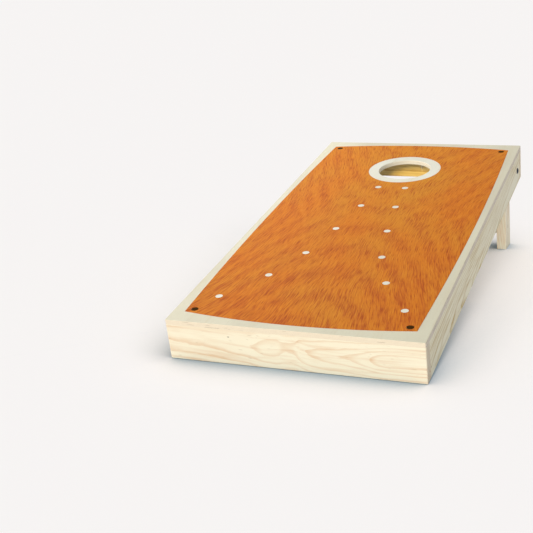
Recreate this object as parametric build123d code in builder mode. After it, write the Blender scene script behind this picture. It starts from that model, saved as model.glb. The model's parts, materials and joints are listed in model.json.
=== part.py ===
from build123d import *
import os
from math import asin, atan2, cos, degrees, hypot, radians, sin, tan

# Cornhole board on folding legs, in millimetres.  +X is to the right, +Y runs from the low
# front end to the high rear end and +Z is up.  The origin is under the middle of the board,
# on the ground.

# ---- Driving dimensions ------------------------------------------------------------------
board_width = 609.6  # 24 in
board_length = 1219.2  # 48 in, along the slope
deck_thickness = 12.7  # 1/2 in plywood
frame_depth = 88.9  # 3 1/2 in rails and aprons
stock_thickness = 28.6  # 1 1/8 in rails, aprons and legs
rear_height = 317.5  # top rear edge above the ground

hole_diameter = 152.4  # 6 in bag hole
hole_from_rear = 228.6  # 9 in from the rear edge to the hole's centre
hole_edge_round = 1.5
deck_edge_round = 1.0
frame_edge_round = 2.0
corner_round = 3.0

graphic_thickness = 0.3
graphic_front = 45.0  # front corners of the wrap, along the deck
graphic_rear = 1174.0  # rear corners of the wrap, along the deck
graphic_half_width = 275.0  # at the corners
graphic_side_bulge = 12.5  # each side is an arc, fullest at mid-length
graphic_end_bulge = 22.0
ring_diameter = 213.0  # bare ring round the hole
dot_diameter = 18.0
dot_rows = [(844, 39.5), (705, 49), (545, 70), (390, 99.5), (255, 148), (130, 225.5)]

trim_screw_x = 256.0
trim_screw_from_end = 59.5
trim_head_diameter = 17.5
trim_shank_diameter = 6.4
trim_screw_length = 11.0
trim_slot = (2.0, 1.6)  # width and depth of the driver slot

leg_width = 76.2  # 3 in
leg_stop_gap = 0.5  # leg to back apron when open
leg_edge_round = 2.5
washer_gap = 0.1  # on each side of a leg
washer_thickness = 1.6
washer_diameter = 22.2
washer_bore = 8.4

bolt_diameter = 7.94  # 5/16 in carriage bolt
bolt_running_clearance = 0.08
bolt_length = 69.85  # 2 3/4 in under the head
bolt_head_diameter = 18.2
bolt_head_height = 4.2
bolt_head_rim = 0.8  # straight rim under the dome
bolt_neck = (8.2, 4.4)  # width and length of the square neck
nut_across_flats = 12.7
nut_hex_height = 6.2
nut_collar_diameter = 12.0
nut_height = 8.7

leg_brace_drop = 184.0  # brace centre below the pivot
leg_brace_depth = 38.1  # along the leg
brace_screw_diameter = 4.8
brace_screw_head = (10.2, 2.8)  # diameter and height of the flat-bottomed head
brace_screw_length = 57.0  # under the head
plug_diameter = 12.7
plug_depth = 8.0

centre_brace_middle = 600.0
centre_brace_depth = 63.5

dowel_diameter = 9.5
dowel_in_side = 20.0
dowel_in_end = 25.0

pocket_angle = 15.0
pocket_diameter = 9.5
pocket_seat_depth = 22.5  # screw seat below the frame's top, along the screw
pocket_reach = 62.0
deck_screw_diameter = 4.0
deck_screw_head = (8.6, 2.6)  # diameter and height
deck_screw_length = 32.0
deck_screw_drive = (2.8, 1.6)  # square recess and its depth
rail_pockets = [170, 460, 740, 1000]
apron_pockets = [-170, 0, 170]

corner_block_leg = 42.0

# ---- Derived sizes -----------------------------------------------------------------------
board_height = frame_depth + deck_thickness
tilt = asin(rear_height / hypot(board_length, board_height)) - atan2(board_height, board_length)

hole_s = board_length - hole_from_rear
rail_length = board_length - 2 * stock_thickness
rail_inner_x = board_width / 2 - stock_thickness
rail_middle_x = board_width / 2 - stock_thickness / 2

pivot_s = board_length - stock_thickness - leg_stop_gap - leg_width / 2
pivot_n = frame_depth / 2
leg_outer_x = rail_inner_x - washer_thickness - washer_gap
leg_inner_x = leg_outer_x - stock_thickness
inner_washer_x = leg_inner_x - washer_gap
nut_seat_x = inner_washer_x - washer_thickness

# The board leans on the rounded front edge of its frame, so its lowest line is a little above
# the sharp corner, and the leg's rear bottom corner is the rearmost point of all.
corner_loss = cos(tilt) + sin(tilt) - 1
ground_drop = frame_edge_round * corner_loss
front_y = deck_edge_round * corner_loss - board_height * sin(tilt)
rear_y = (pivot_s + leg_width / 2) / cos(tilt) - ground_drop * tan(tilt)

# Board plane: local X across the board, local Y up the slope (s), normal square to the deck
# (n, counted from the bottom of the frame).
board = Plane(
    origin=(0, -(front_y + rear_y) / 2, -ground_drop),
    x_dir=(1, 0, 0),
    z_dir=(0, -sin(tilt), cos(tilt)),
)
across = Axis(board.origin, board.x_dir)
along = Axis(board.origin, board.y_dir)
upright = Axis(board.origin, board.z_dir)


def spot(x, s, n):
    """Point at x across, s along the slope and n above the bottom of the frame."""
    return board.from_local_coords(Vector(x, s, n))


def side_plane(x):
    """Plane across the board at x: local X runs along the slope, local Y square to the deck."""
    return Plane(origin=spot(x, 0, 0), x_dir=board.y_dir, z_dir=board.x_dir)


def pivot_plane(side, x):
    """Plane on the pivot line at a distance x from the middle, facing out of the board."""
    return Plane(origin=spot(side * x, pivot_s, pivot_n), x_dir=board.y_dir, z_dir=side * board.x_dir)


def ground_line(s):
    """Height n of the ground under the board at s."""
    return (ground_drop - s * sin(tilt)) / cos(tilt)


def finish_part(builder, label):
    """Name a finished piece and write it."""
    builder.part.label = label
    export_step(builder.part, f"parts/{label}.step")
    volume = builder.part.volume
    print(f"{label:24s} solids {len(builder.part.solids()):2d}  volume {volume:12.1f} mm3")


# ---- Where dowels and deck screws go -----------------------------------------------------
# Dowel planes start at the joint face and point into the end grain.
front_dowels = []
back_dowels = []
brace_dowels = []
for side in (-1, 1):
    for n in (frame_depth * 0.25, frame_depth * 0.75):
        at_front = spot(side * rail_middle_x, stock_thickness, n)
        at_back = spot(side * rail_middle_x, board_length - stock_thickness, n)
        front_dowels.append(Plane(origin=at_front, z_dir=board.y_dir))
        back_dowels.append(Plane(origin=at_back, z_dir=-board.y_dir))
    for n in (frame_depth - centre_brace_depth * 0.75, frame_depth - centre_brace_depth * 0.25):
        at_brace = spot(side * rail_inner_x, centre_brace_middle, n)
        brace_dowels.append(Plane(origin=at_brace, z_dir=-side * board.x_dir))


def pocket_plane(x, s, outward):
    """Plane at the seat of a pocket screw under the frame's top face, along the screw."""
    lean = radians(pocket_angle)
    direction = outward * sin(lean) + board.z_dir * cos(lean)
    return Plane(origin=spot(x, s, frame_depth) - direction * pocket_seat_depth, z_dir=direction)


left_pockets = [pocket_plane(-rail_middle_x, s, -board.x_dir) for s in rail_pockets]
right_pockets = [pocket_plane(rail_middle_x, s, board.x_dir) for s in rail_pockets]
front_pockets = [pocket_plane(x, stock_thickness / 2, -board.y_dir) for x in apron_pockets]
back_pockets = [
    pocket_plane(x, board_length - stock_thickness / 2, board.y_dir) for x in apron_pockets
]
all_pockets = left_pockets + right_pockets + front_pockets + back_pockets

from_base = (Align.CENTER, Align.CENTER, Align.MIN)
to_top = (Align.CENTER, Align.CENTER, Align.MAX)


def drill_pockets(planes):
    """Angled pocket and screw way, cut in the part being built."""
    with Locations(*planes):
        Hole(radius=pocket_diameter / 2, depth=pocket_reach)
        Cylinder(
            radius=deck_screw_diameter / 2,
            height=deck_screw_length,
            align=from_base,
            mode=Mode.SUBTRACT,
        )


# ---- Deck --------------------------------------------------------------------------------
trim_places = [
    (x, s)
    for x in (-trim_screw_x, trim_screw_x)
    for s in (trim_screw_from_end, board_length - trim_screw_from_end)
]
dot_places = [(side * half_gap, s) for s, half_gap in dot_rows for side in (-1, 1)]

with BuildPart() as deck_panel:
    with BuildSketch(board.offset(frame_depth)):
        with Locations((0, board_length / 2)):
            RectangleRounded(board_width, board_length, corner_round)
    extrude(amount=deck_thickness)
    fillet(deck_panel.faces().sort_by(upright)[-1].edges(), radius=deck_edge_round)
    with Locations(board.offset(board_height)):
        with Locations((0, hole_s)):
            Hole(radius=hole_diameter / 2, depth=deck_thickness)
    hole_rim = deck_panel.edges().filter_by(GeomType.CIRCLE).filter_by(
        lambda edge: abs(edge.radius - hole_diameter / 2) < 0.01
    )
    fillet(hole_rim, radius=hole_edge_round)
    with Locations(board.offset(board_height)):
        with Locations(*trim_places):
            CounterSinkHole(
                radius=trim_shank_diameter / 2,
                counter_sink_radius=trim_head_diameter / 2,
                depth=trim_screw_length,
                counter_sink_angle=90,
            )
    with Locations(*all_pockets):
        Cylinder(
            radius=deck_screw_diameter / 2,
            height=deck_screw_length,
            align=from_base,
            mode=Mode.SUBTRACT,
        )

# The wrap: four arcs that meet at sharp corners, pierced by the ring, the dots and the
# trim screws.
front_left = (-graphic_half_width, graphic_front)
front_right = (graphic_half_width, graphic_front)
rear_left = (-graphic_half_width, graphic_rear)
rear_right = (graphic_half_width, graphic_rear)
graphic_middle = (graphic_front + graphic_rear) / 2
side_reach = graphic_half_width + graphic_side_bulge

with BuildPart() as deck_graphic:
    with BuildSketch(board.offset(board_height)):
        with BuildLine():
            ThreePointArc(front_left, (0, graphic_front - graphic_end_bulge), front_right)
            ThreePointArc(front_right, (side_reach, graphic_middle), rear_right)
            ThreePointArc(rear_right, (0, graphic_rear + graphic_end_bulge), rear_left)
            ThreePointArc(rear_left, (-side_reach, graphic_middle), front_left)
        make_face()
        with Locations((0, hole_s)):
            Circle(ring_diameter / 2, mode=Mode.SUBTRACT)
        with Locations(*dot_places):
            Circle(dot_diameter / 2, mode=Mode.SUBTRACT)
        with Locations(*trim_places):
            Circle(trim_head_diameter / 2, mode=Mode.SUBTRACT)
    extrude(amount=graphic_thickness)

# Flush slotted trim screws: a 90 degree cone on a short shank.
trim_cone = (trim_head_diameter - trim_shank_diameter) / 2
with BuildPart() as corner_trim_screws:
    for x, s in trim_places:
        with BuildSketch(Plane(origin=spot(x, s, board_height), x_dir=(1, 0, 0), z_dir=-board.y_dir)):
            with BuildLine():
                Polyline(
                    (0, 0),
                    (trim_head_diameter / 2, 0),
                    (trim_shank_diameter / 2, -trim_cone),
                    (trim_shank_diameter / 2, -trim_screw_length + 1),
                    (trim_shank_diameter / 2 - 1, -trim_screw_length),
                    (0, -trim_screw_length),
                    close=True,
                )
            make_face()
        revolve(axis=Axis(spot(x, s, board_height), board.z_dir))
    with BuildSketch(board.offset(board_height)):
        with Locations(*trim_places):
            Rectangle(trim_head_diameter, trim_slot[0])
    extrude(amount=-trim_slot[1], mode=Mode.SUBTRACT)


# ---- Frame -------------------------------------------------------------------------------
def build_apron(s_start, outer_end, dowels, pockets):
    """Full-width end board of the frame; outer_end picks the rounded corners by their s."""
    with BuildPart() as apron:
        with BuildSketch(board):
            with Locations((0, s_start + stock_thickness / 2)):
                Rectangle(board_width, stock_thickness)
        extrude(amount=frame_depth)
        fillet(apron.edges().filter_by(upright).sort_by(along)[outer_end], radius=corner_round)
        fillet(apron.faces().sort_by(upright)[0].edges(), radius=frame_edge_round)
        with Locations(*dowels):
            Hole(radius=dowel_diameter / 2, depth=dowel_in_side)
        drill_pockets(pockets)
    return apron


def build_rail(x_start, dowels, pockets, side):
    """Long side board between the aprons, bored for the leg's carriage bolt."""
    with BuildPart() as rail:
        with BuildSketch(side_plane(x_start)):
            with Locations((board_length / 2, frame_depth / 2)):
                Rectangle(rail_length, frame_depth)
        extrude(amount=stock_thickness)
        bottom = rail.faces().sort_by(upright)[0]
        fillet(bottom.edges().filter_by(along), radius=frame_edge_round)
        with Locations(*dowels):
            Cylinder(
                radius=dowel_diameter / 2,
                height=dowel_in_end,
                align=from_base,
                mode=Mode.SUBTRACT,
            )
        with Locations(*[plane for plane in brace_dowels if side * plane.origin.X > 0]):
            Hole(radius=dowel_diameter / 2, depth=dowel_in_side)
        drill_pockets(pockets)
        with Locations(pivot_plane(side, board_width / 2)):
            Hole(radius=bolt_diameter / 2, depth=stock_thickness)
            Box(bolt_neck[0], bolt_neck[0], bolt_neck[1], align=to_top, mode=Mode.SUBTRACT)
    return rail


front_apron = build_apron(0, slice(None, 2), front_dowels, front_pockets)
back_apron = build_apron(board_length - stock_thickness, slice(-2, None), back_dowels, back_pockets)

left_end_dowels = [plane for plane in front_dowels + back_dowels if plane.origin.X < 0]
right_end_dowels = [plane for plane in front_dowels + back_dowels if plane.origin.X > 0]
left_rail = build_rail(-board_width / 2, left_end_dowels, left_pockets, -1)
right_rail = build_rail(rail_inner_x, right_end_dowels, right_pockets, 1)

with BuildPart() as centre_brace:
    with BuildSketch(board.offset(frame_depth)):
        with Locations((0, centre_brace_middle)):
            Rectangle(2 * rail_inner_x, stock_thickness)
    extrude(amount=-centre_brace_depth)
    fillet(centre_brace.faces().sort_by(upright)[0].edges().filter_by(across), radius=frame_edge_round)
    with Locations(*brace_dowels):
        Cylinder(
            radius=dowel_diameter / 2,
            height=dowel_in_end,
            align=from_base,
            mode=Mode.SUBTRACT,
        )

with BuildPart() as frame_dowels:
    with Locations(*[plane.offset(-dowel_in_side) for plane in front_dowels + back_dowels + brace_dowels]):
        Cylinder(radius=dowel_diameter / 2, height=dowel_in_side + dowel_in_end, align=from_base)
    chamfer(frame_dowels.edges().filter_by(GeomType.CIRCLE), length=0.8)

with BuildPart() as deck_screws:
    with Locations(*all_pockets):
        Cylinder(radius=deck_screw_diameter / 2, height=deck_screw_length, align=from_base)
        Cylinder(
            radius=deck_screw_head[0] / 2,
            height=deck_screw_head[1],
            align=to_top,
        )
    with Locations(*[plane.offset(-deck_screw_head[1]) for plane in all_pockets]):
        Box(
            deck_screw_drive[0],
            deck_screw_drive[0],
            deck_screw_drive[1],
            align=from_base,
            mode=Mode.SUBTRACT,
        )


def build_corner_block(side):
    """Triangular glue block in a front corner of the frame, short of the deck and the bottom."""
    corner = (side * rail_inner_x, stock_thickness)
    with BuildPart() as block:
        with BuildSketch(board.offset(frame_depth)):
            with BuildLine():
                Polyline(
                    corner,
                    (corner[0] - side * corner_block_leg, corner[1]),
                    (corner[0], corner[1] + corner_block_leg),
                    close=True,
                )
            make_face()
        extrude(amount=-(frame_depth - 10))
        chamfer(block.edges().filter_by(upright), length=1.5)
    return block


left_corner_block = build_corner_block(-1)
right_corner_block = build_corner_block(1)


# ---- Folding legs ------------------------------------------------------------------------
def build_leg(x_start, side):
    """Round-topped leg whose foot is cut to lie flat on the ground."""
    front_s = pivot_s - leg_width / 2
    rear_s = pivot_s + leg_width / 2
    outer_x = side * leg_outer_x
    brace_center = spot(outer_x, pivot_s, pivot_n - leg_brace_drop)
    with BuildPart() as leg:
        with BuildSketch(side_plane(x_start)):
            with BuildLine():
                Line((rear_s, pivot_n), (rear_s, ground_line(rear_s)))
                Line((rear_s, ground_line(rear_s)), (front_s, ground_line(front_s)))
                Line((front_s, ground_line(front_s)), (front_s, pivot_n))
                ThreePointArc((front_s, pivot_n), (pivot_s, pivot_n + leg_width / 2), (rear_s, pivot_n))
            make_face()
        extrude(amount=stock_thickness)
        long_edges = leg.edges().filter_by(upright) + leg.edges().filter_by(GeomType.CIRCLE)
        fillet(long_edges, radius=leg_edge_round)
        with Locations(Plane(origin=spot(outer_x, pivot_s, pivot_n), z_dir=side * board.x_dir)):
            Hole(radius=bolt_diameter / 2 + bolt_running_clearance, depth=stock_thickness)
        with Locations(Plane(origin=brace_center, z_dir=side * board.x_dir)):
            Hole(radius=brace_screw_diameter / 2, depth=stock_thickness)
            Hole(radius=plug_diameter / 2, depth=plug_depth + brace_screw_head[1])
    return leg


left_leg = build_leg(-leg_outer_x, -1)
right_leg = build_leg(leg_inner_x, 1)

brace_screw_planes = [
    Plane(origin=spot(side * leg_outer_x, pivot_s, pivot_n - leg_brace_drop), z_dir=side * board.x_dir)
    for side in (-1, 1)
]
with BuildPart() as leg_brace:
    with BuildSketch(side_plane(-leg_inner_x)):
        with Locations((pivot_s, pivot_n - leg_brace_drop)):
            RectangleRounded(stock_thickness, leg_brace_depth, leg_edge_round)
    extrude(amount=2 * leg_inner_x)
    with Locations(*brace_screw_planes):
        Hole(
            radius=brace_screw_diameter / 2,
            depth=plug_depth + brace_screw_head[1] + brace_screw_length,
        )

with BuildPart() as leg_brace_screws:
    with Locations(*[plane.offset(-plug_depth) for plane in brace_screw_planes]):
        Cylinder(
            radius=brace_screw_diameter / 2,
            height=brace_screw_head[1] + brace_screw_length,
            align=to_top,
        )
        Cylinder(radius=brace_screw_head[0] / 2, height=brace_screw_head[1], align=to_top)

with BuildPart() as leg_screw_plugs:
    with Locations(*brace_screw_planes):
        Cylinder(radius=plug_diameter / 2, height=plug_depth, align=to_top)


# ---- Pivot hardware ----------------------------------------------------------------------
def build_bolt(side):
    """Carriage bolt: low dome, square neck, round shank with a chamfered end."""
    head_plane = pivot_plane(side, board_width / 2)
    section = Plane(origin=head_plane.origin, x_dir=board.y_dir, z_dir=-side * board.z_dir)
    shank_radius = bolt_diameter / 2
    dome_rise = bolt_head_height - bolt_head_rim
    dome_radius = (bolt_head_diameter**2 / 4 + dome_rise**2) / (2 * dome_rise)
    dome_angle = degrees(asin(bolt_head_diameter / 2 / dome_radius))
    with BuildPart() as bolt:
        with BuildSketch(section):
            with BuildLine():
                Line((0, bolt_head_height), (0, -bolt_length))
                Line((0, -bolt_length), (shank_radius - 0.8, -bolt_length))
                Line((shank_radius - 0.8, -bolt_length), (shank_radius, -bolt_length + 0.8))
                Line((shank_radius, -bolt_length + 0.8), (shank_radius, 0))
                Line((shank_radius, 0), (bolt_head_diameter / 2, 0))
                Line((bolt_head_diameter / 2, 0), (bolt_head_diameter / 2, bolt_head_rim))
                CenterArc(
                    (0, bolt_head_height - dome_radius),
                    dome_radius,
                    90 - dome_angle,
                    dome_angle,
                )
            make_face()
        revolve(axis=Axis(head_plane.origin, head_plane.z_dir))
        with Locations(head_plane):
            Box(bolt_neck[0], bolt_neck[0], bolt_neck[1], align=to_top)
    return bolt


def build_washer(side, outer_face_x):
    """Flat washer on the pivot line."""
    with BuildPart() as washer:
        with BuildSketch(pivot_plane(side, outer_face_x)):
            Circle(washer_diameter / 2)
            Circle(washer_bore / 2, mode=Mode.SUBTRACT)
        extrude(amount=-washer_thickness)
        chamfer(washer.edges().filter_by(GeomType.CIRCLE).group_by(SortBy.RADIUS)[-1], length=0.3)
    return washer


def build_nut(side):
    """Nylon-insert lock nut: a hexagon with a round collar on its free end."""
    with BuildPart() as nut:
        with BuildSketch(pivot_plane(side, nut_seat_x)):
            RegularPolygon(nut_across_flats / 2, 6, major_radius=False)
        extrude(amount=-nut_hex_height)
        with BuildSketch(pivot_plane(side, nut_seat_x - nut_hex_height)):
            Circle(nut_collar_diameter / 2)
        extrude(amount=-(nut_height - nut_hex_height))
        fillet(nut.faces().sort_by(across)[0 if side > 0 else -1].edges(), radius=0.8)
        with Locations(pivot_plane(side, nut_seat_x)):
            Hole(radius=bolt_diameter / 2)
    return nut


left_pivot_bolt = build_bolt(-1)
right_pivot_bolt = build_bolt(1)
left_spacer_washer = build_washer(-1, rail_inner_x)
right_spacer_washer = build_washer(1, rail_inner_x)
left_inner_washer = build_washer(-1, inner_washer_x)
right_inner_washer = build_washer(1, inner_washer_x)
left_lock_nut = build_nut(-1)
right_lock_nut = build_nut(1)

# ---- Write every piece -------------------------------------------------------------------
os.makedirs("parts", exist_ok=True)
pieces = {
    "deck_panel": deck_panel,
    "deck_graphic": deck_graphic,
    "corner_trim_screws": corner_trim_screws,
    "front_apron": front_apron,
    "back_apron": back_apron,
    "left_rail": left_rail,
    "right_rail": right_rail,
    "centre_brace": centre_brace,
    "frame_dowels": frame_dowels,
    "deck_screws": deck_screws,
    "left_corner_block": left_corner_block,
    "right_corner_block": right_corner_block,
    "left_leg": left_leg,
    "right_leg": right_leg,
    "leg_brace": leg_brace,
    "leg_brace_screws": leg_brace_screws,
    "leg_screw_plugs": leg_screw_plugs,
    "left_pivot_bolt": left_pivot_bolt,
    "right_pivot_bolt": right_pivot_bolt,
    "left_spacer_washer": left_spacer_washer,
    "right_spacer_washer": right_spacer_washer,
    "left_inner_washer": left_inner_washer,
    "right_inner_washer": right_inner_washer,
    "left_lock_nut": left_lock_nut,
    "right_lock_nut": right_lock_nut,
}
for label, piece in pieces.items():
    finish_part(piece, label)

pivot = spot(0, pivot_s, pivot_n)
hole = spot(0, hole_s, board_height)
print(f"tilt {degrees(tilt):.4f} deg, pivot ({pivot.X:.3f}, {pivot.Y:.3f}, {pivot.Z:.3f})")
print(f"hole centre at the deck's top ({hole.X:.3f}, {hole.Y:.3f}, {hole.Z:.3f})")
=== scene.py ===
import json
import math

import bpy
import bmesh
from mathutils import Matrix, Vector

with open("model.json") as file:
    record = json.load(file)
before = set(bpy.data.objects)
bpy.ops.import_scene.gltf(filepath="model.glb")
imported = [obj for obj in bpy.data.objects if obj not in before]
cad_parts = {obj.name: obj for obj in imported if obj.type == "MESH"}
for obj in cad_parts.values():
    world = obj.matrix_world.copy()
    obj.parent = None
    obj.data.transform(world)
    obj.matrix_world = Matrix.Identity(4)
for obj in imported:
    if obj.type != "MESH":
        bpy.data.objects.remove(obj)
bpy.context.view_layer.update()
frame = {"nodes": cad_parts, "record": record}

# ---- Board space ------------------------------------------------------------------------
# The board leans back by tilt.  Materials and added pieces work in board space: x across,
# s up the slope from the front edge, n square to the deck from the bottom of the frame.
mounts = {mount["name"]: mount for mount in frame["record"]["mounts"]}
deck_normal = Vector(mounts["bag_hole"]["axis"])
tilt = math.atan2(-deck_normal.y, deck_normal.z)
unlean = Matrix.Rotation(-tilt, 3, "X")


def leaning_box(node):
    """Lowest and highest corner of a CAD node in axes that lean with the board."""
    corners = [unlean @ vertex.co for vertex in frame["nodes"][node].data.vertices]
    low = Vector(min(corner[i] for corner in corners) for i in range(3))
    high = Vector(max(corner[i] for corner in corners) for i in range(3))
    return low, high


deck_low, deck_high = leaning_box("deck_panel")
apron_low, apron_high = leaning_box("front_apron")
board_origin = Vector((0, deck_low.y, apron_low.z))
board_length = deck_high.y - deck_low.y
board_width = deck_high.x - deck_low.x
deck_bottom = deck_low.z - board_origin.z
deck_top = deck_high.z - board_origin.z
stock = apron_high.y - apron_low.y


def node_box(node):
    """Lowest and highest corner of a CAD node in board space."""
    low, high = leaning_box(node)
    return low - board_origin, high - board_origin


def srgb(red, green, blue):
    """Linear colour from 0-255 display values."""
    def linear(value):
        value /= 255
        return value / 12.92 if value <= 0.04045 else ((value + 0.055) / 1.055) ** 2.4

    return (linear(red), linear(green), linear(blue), 1.0)


# ---- Shader building --------------------------------------------------------------------
class Shader:
    """A material's node tree; each helper adds a node and returns its output socket."""

    def __init__(self, name, roughness=0.5, specular=0.4):
        self.material = bpy.data.materials.new(name)
        self.material.use_nodes = True
        self.tree = self.material.node_tree
        self.surface = self.tree.nodes["Principled BSDF"]
        self.surface.inputs["Roughness"].default_value = roughness
        self.surface.inputs["Specular IOR Level"].default_value = specular
        self.coordinates = self.tree.nodes.new("ShaderNodeTexCoord")

    def add(self, kind, inputs=(), output=0, **settings):
        """A node of that kind, with settings, its inputs linked or set in order."""
        node = self.tree.nodes.new(kind)
        for name, value in settings.items():
            setattr(node, name, value)
        for key, value in dict(inputs).items():
            self.feed(node.inputs[key], value)
        return node.outputs[output]

    def feed(self, socket, value):
        if isinstance(value, bpy.types.NodeSocket):
            self.tree.links.new(value, socket)
        else:
            socket.default_value = value

    def math(self, operation, a, b=0.0, clamp=False):
        return self.add("ShaderNodeMath", {0: a, 1: b}, operation=operation, use_clamp=clamp)

    def plus(self, a, b):
        return self.math("ADD", a, b)

    def minus(self, a, b):
        return self.math("SUBTRACT", a, b)

    def times(self, a, b):
        return self.math("MULTIPLY", a, b)

    def length(self, a, b):
        return self.math("SQRT", self.plus(self.times(a, a), self.times(b, b)))

    def ramp(self, value, low, high, to_low=0.0, to_high=1.0):
        """Value mapped from low..high to to_low..to_high with soft ends."""
        inputs = {0: value, 1: low, 2: high, 3: to_low, 4: to_high}
        return self.add("ShaderNodeMapRange", inputs, interpolation_type="SMOOTHSTEP")

    def mix(self, factor, a, b):
        return self.add("ShaderNodeMix", {0: factor, 6: a, 7: b}, 2, data_type="RGBA")

    def join(self, x, y, z):
        return self.add("ShaderNodeCombineXYZ", {0: x, 1: y, 2: z})

    def split(self, vector):
        node = self.tree.nodes.new("ShaderNodeSeparateXYZ")
        self.feed(node.inputs[0], vector)
        return node.outputs[0], node.outputs[1], node.outputs[2]

    def noise(self, places, scales, detail=2.0, roughness=0.5, seed=0.0):
        """Noise over one to three places, each with its own number of blots per metre."""
        scaled = [self.times(place, scale) for place, scale in zip(places, scales)]
        vector = self.join(*(scaled + [seed, 0.0])[:3])
        inputs = {"Vector": vector, "Scale": 1.0, "Detail": detail, "Roughness": roughness}
        return self.add("ShaderNodeTexNoise", inputs)

    def curve(self, value, points):
        """Smooth function of one number through given (value, result) points, each 0-1."""
        node = self.tree.nodes.new("ShaderNodeFloatCurve")
        curve = node.mapping.curves[0]
        curve.points[0].location = points[0]
        curve.points[1].location = points[-1]
        for point in points[1:-1]:
            curve.points.new(*point)
        node.mapping.update()
        self.feed(node.inputs["Value"], value)
        return node.outputs[0]

    def path(self, along, points):
        """Smooth function of a place along the grain, through (place, value) points in metres."""
        places = [place for place, value in points]
        values = [value for place, value in points]
        low, high = min(values), max(values)
        reach = max(high - low, 1e-6)
        scaled = [
            ((place - places[0]) / (places[-1] - places[0]), (value - low) / reach)
            for place, value in points
        ]
        where = self.add("ShaderNodeMapRange", {0: along, 1: places[0], 2: places[-1]})
        return self.plus(self.times(self.curve(where, scaled), reach), low)

    def board_space(self):
        """Sockets for x, s and n, in metres."""
        inputs = {"Vector": self.coordinates.outputs["Object"], "Rotation": (-tilt, 0, 0)}
        inputs["Location"] = -board_origin
        return self.split(self.add("ShaderNodeMapping", inputs))

    def board_normal(self):
        """Sockets for how much the surface faces x, s and n."""
        inputs = {"Vector": self.coordinates.outputs["Normal"], "Rotation": (-tilt, 0, 0)}
        parts = self.split(self.add("ShaderNodeMapping", inputs, vector_type="NORMAL"))
        return [self.math("ABSOLUTE", part) for part in parts]

    def near_edge(self, reach):
        """1 beside a sharp edge, falling to 0 at about reach from it."""
        rounded = self.add("ShaderNodeBevel", {"Radius": reach}, samples=6)
        flat = self.tree.nodes.new("ShaderNodeNewGeometry").outputs["True Normal"]
        match = self.add("ShaderNodeVectorMath", {0: rounded, 1: flat}, 1, operation="DOT_PRODUCT")
        return self.ramp(match, 0.995, 0.88)

    def finish(self, color, roughness=None, height=None, bump=0.3, depth=0.001):
        """Connects colour, roughness and a bump height to the surface."""
        self.feed(self.surface.inputs["Base Color"], color)
        if roughness is not None:
            self.feed(self.surface.inputs["Roughness"], roughness)
        if height is not None:
            inputs = {"Strength": bump, "Distance": depth, "Height": height}
            self.feed(self.surface.inputs["Normal"], self.add("ShaderNodeBump", inputs))
        return self.material


# ---- Materials --------------------------------------------------------------------------
# Growth rings are cylinders about a pith that wanders beside the board.  A path gives the
# pith's place along the grain as (place, value) points, in metres of board space.
rail_pine = (srgb(228, 221, 196), srgb(188, 161, 100), srgb(118, 84, 36))
pale_pine = (srgb(224, 216, 192), srgb(210, 181, 148), srgb(150, 112, 74))
# painted bounce light: the golden tone that warm light reflected inside the board gives an inner face
painted_bounce_pine = (srgb(228, 202, 138), srgb(180, 132, 60), srgb(112, 76, 34))


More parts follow.
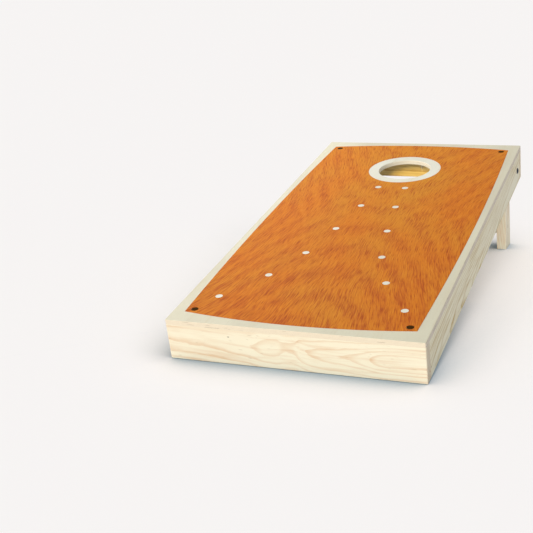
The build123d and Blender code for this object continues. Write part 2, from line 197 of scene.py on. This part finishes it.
def pine(
    name, grain, across_path, depth_path, rings,
    seed=0.0, colors=pale_pine, late_wood=0.8, marks=(), painted_bounce=None,
):
    """Sawn pine: growth rings, fibres along the grain, resin flecks and darker end grain.

    grain names the axis the fibres follow.  rings gives the count of rings at a distance from
    the pith, as (metres, count) points.  late_wood is how dark the rings' late wood is.
    marks are the places, along and across the grain, of small dark resin spots.
    The last argument, (inner, outer, colours), is painted warm bounce light: those colours on the
    side of the board at depth inner, fading to the plain colours by depth outer.
    """
    cream, band, brown = colors
    shade = Shader(name, roughness=0.5, specular=0.3)
    x, s, n = shade.board_space()
    nx, ns, nn = shade.board_normal()
    along, across, deep, end_on = {
        "x": (x, n, s, nx),
        "s": (s, n, x, ns),
        "n": (n, s, x, nn),
    }[grain]
    a = shade.minus(across, shade.path(along, across_path))
    d = shade.minus(deep, shade.path(along, depth_path))
    radius = shade.length(a, d)
    wobble = shade.noise((along, a), (11.0, 34.0), 3.0, 0.55, seed)
    uneven = shade.noise([radius], [45.0], 1.0, seed=seed + 3.0)
    count = shade.plus(shade.path(radius, rings), shade.times(shade.minus(wobble, 0.5), 0.8))
    count = shade.plus(count, shade.times(shade.minus(uneven, 0.5), 0.4))
    # painted warm bounce light: a golden tint towards the face at depth inner
    if painted_bounce:
        # the flecks take the brown of the painted bounce-light colours throughout
        inner, outer, (bounce_cream, bounce_band, brown) = painted_bounce
        plain_share = shade.ramp(deep, inner, outer)
        cream = shade.mix(plain_share, bounce_cream, cream)
        band = shade.mix(plain_share, bounce_band, band)
    phase = shade.math("FRACT", count)
    late = shade.times(shade.ramp(phase, 0.55, 0.92), shade.ramp(phase, 1.0, 0.94))
    # fine fibres and broader streaks run with the grain
    fibre = shade.noise((along, a, d), (16.0, 700.0, 700.0), 3.0, 0.6)
    streak = shade.noise((along, a, d), (4.0, 120.0, 120.0), 3.0, 0.6)
    cloud = shade.noise((along, across), (5.0, 16.0), seed=seed)
    amount = shade.times(late, shade.ramp(cloud, 0.3, 0.75, 0.5 * late_wood, late_wood))
    amount = shade.plus(amount, shade.ramp(streak, 0.46, 0.68, 0.0, 0.5 * late_wood))
    amount = shade.plus(amount, shade.ramp(cloud, 0.45, 0.8, 0.0, 0.3 * late_wood))
    tone = shade.mix(shade.math("ADD", amount, 0.0, clamp=True), cream, band)
    tone = shade.mix(shade.ramp(fibre, 0.5, 0.8, 0.0, 0.12), tone, band)
    # short resin flecks and a rare dark speck
    fleck = shade.noise((along, a, d), (45.0, 330.0, 330.0), 1.0)
    tone = shade.mix(shade.ramp(fleck, 0.7, 0.8, 0.0, 0.4), tone, brown)
    speck = shade.noise((along, across, deep), (24.0, 60.0, 60.0), 0.0)
    tone = shade.mix(shade.ramp(speck, 0.86, 0.88, 0.0, 0.6), tone, brown)
    for mark_along, mark_across in marks:
        off_along = shade.times(shade.minus(along, mark_along), 0.5)
        reach = shade.length(off_along, shade.minus(across, mark_across))
        reach = shade.plus(reach, shade.times(shade.minus(fleck, 0.5), 0.0016))
        tone = shade.mix(shade.ramp(reach, 0.0015, 0.0008, 0.0, 0.75), tone, srgb(92, 78, 66))
    # end grain soaks up more finish
    end = shade.ramp(end_on, 0.6, 0.95, 0.0, 0.28)
    tone = shade.mix(end, tone, brown)
    # painted highlight: the wood is lightened towards cream beside sharp edges, where the eased edges
    # catch the light
    tone = shade.mix(shade.times(shade.near_edge(0.0025), 0.3), tone, srgb(232, 224, 202))
    rough = shade.plus(0.44, shade.times(fibre, 0.18))
    height = shade.plus(shade.times(late, 0.5), shade.times(fibre, 0.7))
    return shade.finish(tone, rough, height, bump=0.22, depth=0.0004)


def birch_plywood(name):
    """Birch plywood: pale veneer on the faces, crossed plies on every cut edge."""
    shade = Shader(name, roughness=0.45, specular=0.3)
    x, s, n = shade.board_space()
    nx, ns, nn = shade.board_normal()
    plies = 9
    ply_thickness = (deck_top - deck_bottom) / plies
    warp = shade.times(shade.minus(shade.noise((x, s), (9.0, 9.0)), 0.5), 0.5)
    level = shade.plus(shade.math("DIVIDE", shade.minus(n, deck_bottom), ply_thickness), warp)
    phase = shade.math("FRACT", level)
    ply = shade.math("FLOOR", level)
    crossed = shade.math("PINGPONG", ply, 1.0)
    crossed = shade.math("ABSOLUTE", shade.minus(crossed, shade.ramp(nx, 0.45, 0.55)))
    glue = shade.math("MAXIMUM", shade.ramp(phase, 0.12, 0.0), shade.ramp(phase, 0.88, 1.0))
    # long plies show streaks along the edge, end plies a pinkish speckle
    run = shade.plus(x, s)
    streak = shade.noise((run, n), (14.0, 1500.0), 3.0, 0.6)
    speck = shade.noise((run, n), (700.0, 500.0), 2.0, 0.6)
    long_ply = shade.mix(streak, srgb(216, 203, 174), srgb(230, 221, 196))
    end_ply = shade.mix(speck, srgb(206, 188, 168), srgb(222, 208, 186))
    edge = shade.mix(crossed, long_ply, end_ply)
    edge = shade.mix(shade.times(glue, 0.4), edge, srgb(164, 134, 110))
    # painted shade and light on the cut edges: the long outer edges are greyed as if in shade, and the
    # inner edges, the wall of the bag hole among them, are lightened as if lit from the front
    outside = shade.math("GREATER_THAN", shade.math("ABSOLUTE", x), 0.45 * board_width)
    painted_edge_shade = shade.times(shade.times(shade.ramp(nx, 0.45, 0.55), outside), 0.28)
    edge = shade.mix(painted_edge_shade, edge, srgb(172, 160, 158))
    # painted light: the inner edges are lightened towards cream
    inner = shade.times(shade.minus(1.0, outside), shade.ramp(s, stock, 2 * stock))
    edge = shade.mix(shade.times(inner, 0.5), edge, srgb(240, 230, 206))
    # short dark voids in the crossed plies
    gaps = shade.noise((run, ply), (22.0, 3.7), 1.0, seed=3.0)
    void = shade.times(shade.ramp(gaps, 0.6, 0.66), crossed)
    void = shade.times(void, shade.times(shade.ramp(phase, 0.25, 0.45), shade.ramp(phase, 0.75, 0.55)))
    edge = shade.mix(void, edge, srgb(104, 76, 52))
    # face veneer: faint cathedral figure, silky flecks, soft clouds
    cloud = shade.noise((x, s), (7.0, 3.0), 3.0, seed=1.7)
    cloudy = shade.ramp(cloud, 0.3, 0.7)
    figure = shade.plus(shade.times(s, 2.2), shade.times(cloud, 2.4))
    wave = shade.noise((x, figure), (34.0, 1.0), 3.0, 0.6)
    fleck = shade.noise((x, s), (600.0, 42.0), 2.0, 0.6)
    face = shade.mix(cloudy, srgb(220, 217, 202), srgb(211, 207, 191))
    # the rim is handled most, and its finish has yellowed a little
    rim_full = 0.03
    rim_gone = 0.06
    side_rim = shade.ramp(shade.math("ABSOLUTE", x), 0.42 * board_width, 0.46 * board_width)
    front_rim = shade.ramp(s, rim_gone, rim_full)
    rear_rim = shade.ramp(s, board_length - rim_gone, board_length - rim_full)
    rim = shade.math("MAXIMUM", side_rim, shade.math("MAXIMUM", front_rim, rear_rim))
    yellowed = shade.mix(cloudy, srgb(208, 202, 178), srgb(198, 191, 169))
    face = shade.mix(rim, face, yellowed)
    face = shade.mix(shade.ramp(wave, 0.5, 0.8, 0.0, 0.5), face, srgb(196, 182, 150))
    face = shade.mix(shade.ramp(fleck, 0.5, 0.8, 0.0, 0.3), face, srgb(186, 172, 144))
    tone = shade.mix(shade.ramp(nn, 0.5, 0.85), edge, face)
    tone = shade.mix(shade.times(shade.near_edge(0.002), 0.3), tone, srgb(190, 172, 146))
    rough = shade.plus(0.42, shade.times(fleck, 0.18))
    height = shade.plus(shade.times(fleck, 0.4), shade.times(shade.minus(1.0, glue), 0.6))
    height = shade.minus(height, shade.times(void, 3.0))
    return shade.finish(tone, rough, height, bump=0.3, depth=0.0004)


def wrap_print(name):
    """Amber-stained wood figure of the deck wrap, with a matt laminate."""
    shade = Shader(name, roughness=0.6, specular=0.04)
    x, s, n = shade.board_space()
    # the figure's middle, across and up the board
    figure_x = 0.01
    figure_s = 0.62
    band_spacing = 0.13
    arch_bend = 6.3
    band_start = 9.3
    off = shade.minus(x, figure_x)
    up = shade.minus(s, figure_s)
    # fibres spread towards both ends, pinched at mid-length
    spread = shade.plus(1.0, shade.times(shade.times(up, up), 1.8))
    sway = shade.times(shade.minus(shade.noise((x, s), (4.0, 3.5), seed=4.0), 0.5), 0.035)
    flow = shade.plus(shade.math("DIVIDE", x, spread), sway)
    # cathedral bands: arches below mid-length, cups above it
    arch = shade.minus(shade.math("ABSOLUTE", up), shade.times(shade.times(off, off), arch_bend))
    blur = shade.noise((x, s), (14.0, 9.0), 3.0, 0.6)
    turn = shade.plus(shade.times(arch, 2 * math.pi / band_spacing), shade.times(blur, 3.4))
    bands = shade.math("SINE", shade.minus(turn, band_start))
    cloud = shade.noise((x, s), (7.0, 4.0), 3.0, 0.55, 9.0)
    mottle = shade.noise((flow, s), (36.0, 9.0), 3.0, 0.6)
    streak = shade.noise((flow, s), (400.0, 14.0), 3.0, 0.65, 2.0)
    dash = shade.noise((flow, s), (560.0, 28.0), 2.0, 0.6)
    # redder towards the front edge, more golden past the middle
    heat = shade.ramp(s, 0.0, 0.9, 0.03, -0.02)
    red = shade.plus(shade.times(bands, 0.05), shade.times(shade.minus(mottle, 0.5), 0.32))
    red = shade.plus(shade.plus(red, heat), shade.times(shade.minus(streak, 0.5), 0.85))
    golden = shade.times(shade.ramp(s, 0.45, 0.95), shade.ramp(shade.math("ABSOLUTE", off), 0.22, 0.05))
    golden = shade.plus(shade.times(golden, 0.5), shade.ramp(cloud, 0.35, 0.68, 0.0, 0.5))
    tone = shade.mix(golden, srgb(203, 116, 32), srgb(199, 132, 42))
    tone = shade.mix(shade.ramp(red, -0.12, 0.28, 0.0, 0.7), tone, srgb(174, 80, 34))
    grip = shade.plus(dash, shade.times(red, 0.5))
    tone = shade.mix(shade.ramp(grip, 0.5, 0.7, 0.0, 0.62), tone, srgb(146, 54, 24))
    tone = shade.mix(shade.ramp(grip, 0.46, 0.28, 0.0, 0.5), tone, srgb(214, 138, 46))
    tone = shade.mix(shade.times(shade.near_edge(0.0028), 0.6), tone, srgb(160, 64, 10))
    rough = shade.plus(0.5, shade.times(dash, 0.14))
    return shade.finish(tone, rough, dash, bump=0.1, depth=0.0002)


def metal(name, color, roughness, brushed=0.0, metallic=1.0, specular=0.5):
    """Plated or coated steel with faint turning marks and smudges."""
    shade = Shader(name, roughness=roughness, specular=specular)
    shade.surface.inputs["Metallic"].default_value = metallic
    x, s, n = shade.board_space()
    smudge = shade.noise((x, s, n), (400.0, 400.0, 400.0), 3.0)
    marks = shade.noise((x, s), (6000.0, 900.0))
    darker = tuple(channel * 0.6 for channel in color[:3]) + (1.0,)
    tone = shade.mix(shade.ramp(smudge, 0.35, 0.7), color, darker)
    rough = shade.plus(roughness - 0.08, shade.times(smudge, 0.2))
    return shade.finish(tone, rough, marks, bump=0.05 + brushed, depth=0.0002)


# ---- Give every CAD node its material ---------------------------------------------------
def paint(node, material):
    """Puts the material on a CAD node."""
    mesh = frame["nodes"][node].data
    mesh.materials.clear()
    mesh.materials.append(material)


paint("deck_panel", birch_plywood("birch_plywood"))
paint("deck_graphic", wrap_print("deck_wrap"))

# Front apron: its pith dips towards the face left of the middle, which draws an eye there,
# and comes nearer towards the right, which draws Vs that open to the right.
eye_height = [
    (-0.305, 0.068), (-0.20, 0.063), (-0.12, 0.058), (-0.057, 0.053),
    (-0.017, 0.055), (0.057, 0.048), (0.157, 0.047), (0.305, 0.050),
]
eye_depth = [
    (-0.305, 0.0661), (-0.20, 0.0638), (-0.12, 0.0605), (-0.097, 0.0600), (-0.057, 0.0560),
    (-0.035, 0.0562), (-0.013, 0.0587), (0.023, 0.0525), (0.057, 0.0487), (0.157, 0.0438),
    (0.223, 0.0385), (0.305, 0.0385),
]
eye_rings = [
    (0.0, 0.0), (0.036, 2.0), (0.042, 3.0), (0.0462, 4.0), (0.0505, 5.0), (0.060, 6.0),
    (0.069, 7.0), (0.080, 8.0), (0.14, 13.0),
]
resin_spot = (-0.150, 0.071)
front_pine = pine(
    "front_pine", "x", eye_height, eye_depth, eye_rings, late_wood=0.75, marks=[resin_spot]
)
paint("front_apron", front_pine)


def even_rings(spacing):
    """Ring count for rings a fixed distance apart."""
    reach = 0.3
    return [(0.0, 0.0), (reach, reach / spacing)]


low, high = node_box("back_apron")
drift = [(low.x, 0.03), (-0.1, 0.04), (0.12, 0.035), (high.x, 0.05)]
behind = [(low.x, high.y + 0.05), (0.0, high.y + 0.03), (high.x, high.y + 0.06)]
# painted warm bounce light: a golden tint on its inner face, fading to the plain pale pine towards the
# outside
painted_bounce = (low.y, low.y + 0.15 * stock, painted_bounce_pine)
paint("back_apron", pine("back_pine", "x", drift, behind, even_rings(0.009), seed=5.0, painted_bounce=painted_bounce))
rail_spots = [(0.026, 0.021), (0.031, 0.026)]
for node, seed, side in (("left_rail", 9.0, -1), ("right_rail", 13.0, 1)):
    low, high = node_box(node)
    height = [(low.y, 0.0), (0.3, 0.012), (0.65, -0.006), (0.95, 0.02), (high.y, 0.034)]
    inward = [(low.y, side * 0.21), (0.4, side * 0.225), (0.8, side * 0.245), (high.y, side * 0.25)]
    look = {"seed": seed, "colors": rail_pine, "marks": rail_spots}
    paint(node, pine(f"{node}_pine", "s", height, inward, even_rings(0.0055), **look))
for node, seed in (("left_leg", 21.0), ("right_leg", 27.0)):
    low, high = node_box(node)
    fore = [(low.z, low.y + 0.03), (0.0, low.y + 0.045), (high.z, low.y + 0.03)]
    inward = [(low.z, low.x - 0.05), (high.z, low.x - 0.06)]
    paint(node, pine(f"{node}_pine", "n", fore, inward, even_rings(0.007), seed=seed))
for node, seed in (("leg_brace", 31.0), ("centre_brace", 37.0)):
    low, high = node_box(node)
    height = [(low.x, low.z - 0.03), (0.0, low.z - 0.02), (high.x, low.z - 0.035)]
    behind = [(low.x, high.y + 0.04), (high.x, high.y + 0.055)]
    paint(node, pine(f"{node}_pine", "x", height, behind, even_rings(0.006), seed=seed))
for node, seed in (("left_corner_block", 41.0), ("right_corner_block", 43.0)):
    low, high = node_box(node)
    fore = [(low.z, low.y - 0.05), (high.z, low.y - 0.06)]
    inward = [(low.z, low.x - 0.05), (high.z, low.x - 0.04)]
    paint(node, pine(f"{node}_pine", "n", fore, inward, even_rings(0.005), seed=seed))
for node in ("frame_dowels", "leg_screw_plugs"):
    low, high = node_box(node)
    height = [(low.x, low.z - 0.02), (high.x, low.z - 0.02)]
    behind = [(low.x, low.y - 0.02), (high.x, low.y - 0.02)]
    paint(node, pine(f"{node}_wood", "x", height, behind, even_rings(0.003), seed=51.0))

zinc = metal("zinc_plate", srgb(196, 198, 202), 0.34, brushed=0.05)
navy = metal("navy_coating", srgb(12, 30, 52), 0.28, metallic=0.0, specular=0.3)
bronze = metal("dark_bronze", srgb(68, 44, 10), 0.75, metallic=0.0, specular=0.03)
paint("corner_trim_screws", bronze)
for node in ("left_pivot_bolt", "right_pivot_bolt"):
    paint(node, navy)
for side in ("left", "right"):
    for part in ("spacer_washer", "inner_washer", "lock_nut"):
        paint(f"{side}_{part}", zinc)
for node in ("deck_screws", "leg_brace_screws"):
    paint(node, zinc)

# ---- Stage ------------------------------------------------------------------------------
floor_size = 400.0
floor_drop = 0.0004
floor_mesh = bpy.data.meshes.new("studio_floor")
maker = bmesh.new()
bmesh.ops.create_grid(maker, x_segments=1, y_segments=1, size=floor_size / 2)
maker.to_mesh(floor_mesh)
maker.free()
studio_floor = bpy.data.objects.new("studio_floor", floor_mesh)
bpy.context.scene.collection.objects.link(studio_floor)
studio_floor.location.z = -floor_drop

# The floor is paper white, with a painted blue-grey shadow where the board closes it off.
floor_shader = Shader("studio_floor", roughness=0.6, specular=0.0)
contact = floor_shader.tree.nodes.new("ShaderNodeAmbientOcclusion")
contact.samples = 16
contact.inputs["Distance"].default_value = 0.2
openness = floor_shader.ramp(contact.outputs["AO"], 0.15, 0.96)
pale, shadow_blue = srgb(250, 246, 243), srgb(112, 146, 168)
floor_shader.finish(floor_shader.mix(openness, shadow_blue, pale))
studio_floor.data.materials.append(floor_shader.material)

# Studio light: soft daylight all round on the board, a paper white backdrop in view.
backdrop_color = srgb(248, 244, 241)
world = bpy.data.worlds.new("studio")
bpy.context.scene.world = world
world.use_nodes = True
world_tree = world.node_tree
backdrop = world_tree.nodes["Background"]
backdrop.inputs["Color"].default_value = backdrop_color
ambient = world_tree.nodes.new("ShaderNodeBackground")
ambient.inputs["Color"].default_value = (0.88, 0.98, 1.07, 1.0)
ambient.inputs["Strength"].default_value = 0.5
light_path = world_tree.nodes.new("ShaderNodeLightPath")
blend = world_tree.nodes.new("ShaderNodeMixShader")
world_tree.links.new(light_path.outputs["Is Diffuse Ray"], blend.inputs[0])
world_tree.links.new(backdrop.outputs[0], blend.inputs[1])
world_tree.links.new(ambient.outputs[0], blend.inputs[2])
world_tree.links.new(blend.outputs[0], world_tree.nodes["World Output"].inputs["Surface"])


def receivers(name, members):
    """Collection of the objects that a light may reach."""
    collection = bpy.data.collections.new(name)
    for member in members:
        collection.objects.link(member)
    return collection


def add_light(name, kind, energy, place, aim, lit, **settings):
    """A light at a place, aimed at a point, that lights only the objects in lit."""
    data = bpy.data.lights.new(name, kind)
    data.energy = energy
    for key, value in settings.items():
        setattr(data, key, value)
    light = bpy.data.objects.new(name, data)
    bpy.context.scene.collection.objects.link(light)
    light.location = place
    light.rotation_euler = (Vector(place) - Vector(aim)).to_track_quat("Z", "Y").to_euler()
    light.light_linking.receiver_collection = lit


board_lit = receivers("board_lit", frame["nodes"].values())
floor_lit = receivers("floor_lit", [studio_floor])
legs_lit = receivers("legs_lit", [frame["nodes"]["left_leg"], frame["nodes"]["right_leg"]])
back_lit = receivers("back_lit", [frame["nodes"]["back_apron"]])
origin = (0, 0, 0)
warm = (1.0, 0.95, 0.88)
amber = (1.0, 0.76, 0.24)
sunny = (1.0, 0.93, 0.88)
bank = {"shape": "RECTANGLE", "size": 3.4, "size_y": 0.5, "color": warm}
add_light("front_light", "SUN", 2.6, (-0.25, -1.0, 0.33), origin, board_lit, angle=0.9, color=warm)
add_light("left_bank", "AREA", 16.0, (-0.95, 0.25, 1.2), (-0.1, 0.25, 0.2), board_lit, **bank)
add_light("leg_fill", "SUN", 1.0, (0.27, -1.0, 0.12), origin, legs_lit, angle=0.15, color=warm)
add_light("hole_fill", "SUN", 2.6, (0.15, -1.0, 0.29), origin, back_lit, angle=0.15, color=amber)
add_light("floor_light", "SUN", 1.95, (0.5, -0.35, 1.0), origin, floor_lit, angle=1.2, color=sunny)

# ---- Camera -----------------------------------------------------------------------------
camera_data = bpy.data.cameras.new("camera")
camera_data.sensor_width = 36.0
camera_data.lens = 69.44
camera_data.shift_x = -0.035
camera = bpy.data.objects.new("camera", camera_data)
bpy.context.scene.collection.objects.link(camera)
camera.location = (0.7921, -2.5785, 0.8399)
right = Vector((0.9305, 0.3639, -0.041)).normalized()
ahead = Vector((-0.361, 0.8926, -0.2702)).normalized()
above = right.cross(ahead).normalized()
camera.rotation_euler = Matrix((right, above, -ahead)).transposed().to_euler()
bpy.context.scene.camera = camera
bpy.context.scene.view_settings.view_transform = "Standard"
